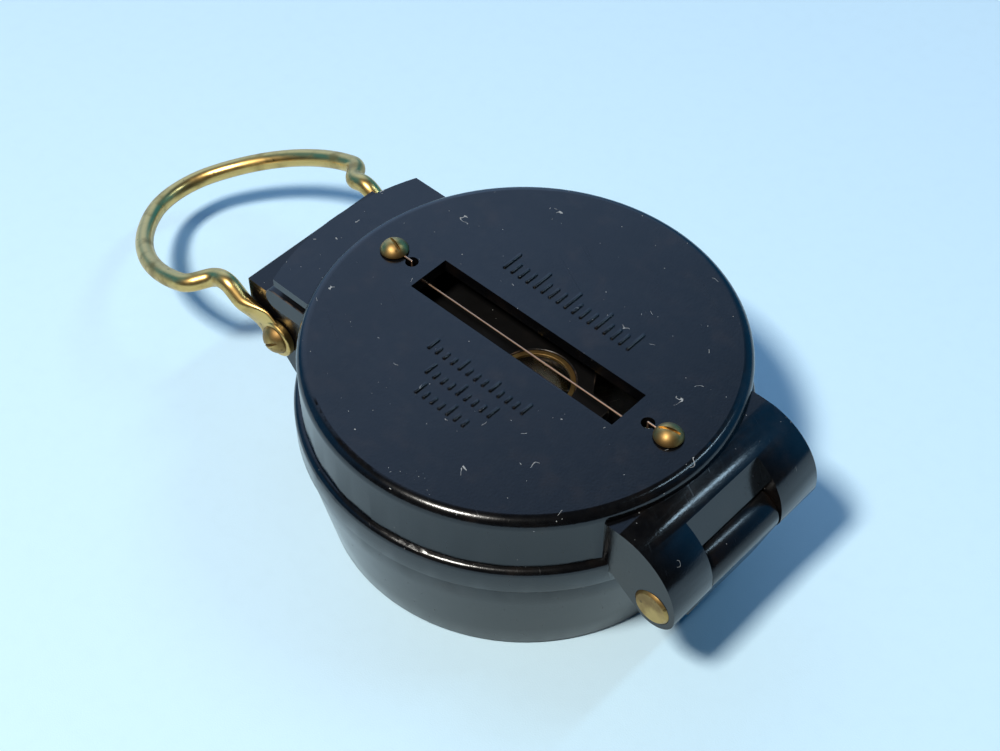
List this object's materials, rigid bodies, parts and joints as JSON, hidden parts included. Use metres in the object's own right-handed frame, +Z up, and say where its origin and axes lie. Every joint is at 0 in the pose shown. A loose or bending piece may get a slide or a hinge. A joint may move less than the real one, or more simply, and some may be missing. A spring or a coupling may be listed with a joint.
{
  "type": "sighting compass",
  "caption": "Pocket sighting compass: a round plastic case and hinged lid with a hairline slot, a folding eyepiece, a turning bezel, a liquid-damped dial and a wire thumb ring",
  "frame": {"origin": "on the dial's axis, at the flat bottom of the case", "axes": "+X points to the lid's hinge, the sighting direction; +Z is up out of the case"},
  "size_m": [0.1038, 0.0568, 0.0284],
  "materials": {
    "black_plastic": "glossy black moulding, dusty and lightly chipped",
    "brass": "satin, worn",
    "copper_wire": "fine bare copper-coloured wire",
    "clear_glass": "clear",
    "steel": "plain",
    "luminous_paint": "matt pale green paint",
    "rubber": "matt",
    "dial_plastic": "matt black",
    "float_plastic": "clear moulded plastic",
    "jewel": "polished red stone"
  },
  "bodies": {
    "case": {"case_body": "black_plastic", "hinge_pin": "brass", "ring_pivot_screws": "brass", "eyepiece_hinge_pin": "steel", "bezel_click_spring": "steel", "capsule_bowl": "brass", "capsule_gasket": "rubber", "capsule_glass": "clear_glass", "capsule_clamp_ring": "brass", "lubber_line": "luminous_paint", "pivot_post": "brass", "pivot_point": "steel", "expansion_diaphragm": "rubber", "diaphragm_ring": "brass", "filler_screw": "brass"},
    "lid": {"lid_cover": "black_plastic", "sight_wire": "copper_wire", "sight_wire_screws": "brass"},
    "eyepiece": {"eyepiece_bracket": "black_plastic", "eyepiece_lens": "clear_glass", "lens_retaining_ring": "brass"},
    "ring": {"thumb_ring": "brass"},
    "bezel": {"bezel_ring": "black_plastic", "bezel_glass": "clear_glass", "bezel_glass_ring": "brass", "bezel_index_line": "luminous_paint", "bezel_snap_ring": "steel"},
    "dial": {"dial_card": "dial_plastic", "card_luminous_marks": "luminous_paint", "float_hub": "float_plastic", "hub_ring": "brass", "jewel_bearing": "jewel", "card_magnets": "steel"}
  },
  "joints": [
    {"name": "lid_hinge", "type": "hinge", "parent": "case", "child": "lid", "pos_m": [0.0316, 0, 0.0164], "axis": [0, 1, 0], "range_deg": [0, 120]},
    {"name": "eyepiece_flip", "type": "hinge", "parent": "case", "child": "eyepiece", "pos_m": [-0.0315, 0, 0.0209], "axis": [0, -1, 0], "range_deg": [0, 90]},
    {"name": "ring_swing", "type": "hinge", "parent": "case", "child": "ring", "pos_m": [-0.0328, 0, 0.0122], "axis": [0, 1, 0], "range_deg": [-100, 40]},
    {"name": "bezel_turn", "type": "hinge", "parent": "case", "child": "bezel", "pos_m": [0, 0, 0.016], "axis": [0, 0, 1], "continuous": true},
    {"name": "dial_spin", "type": "hinge", "parent": "case", "child": "dial", "pos_m": [0, 0, 0.014], "axis": [0, 0, 1], "continuous": true}
  ],
  "couplings": [
    {"joint": "eyepiece_flip", "follows": "lid_hinge", "ratio": 0.75}
  ]
}
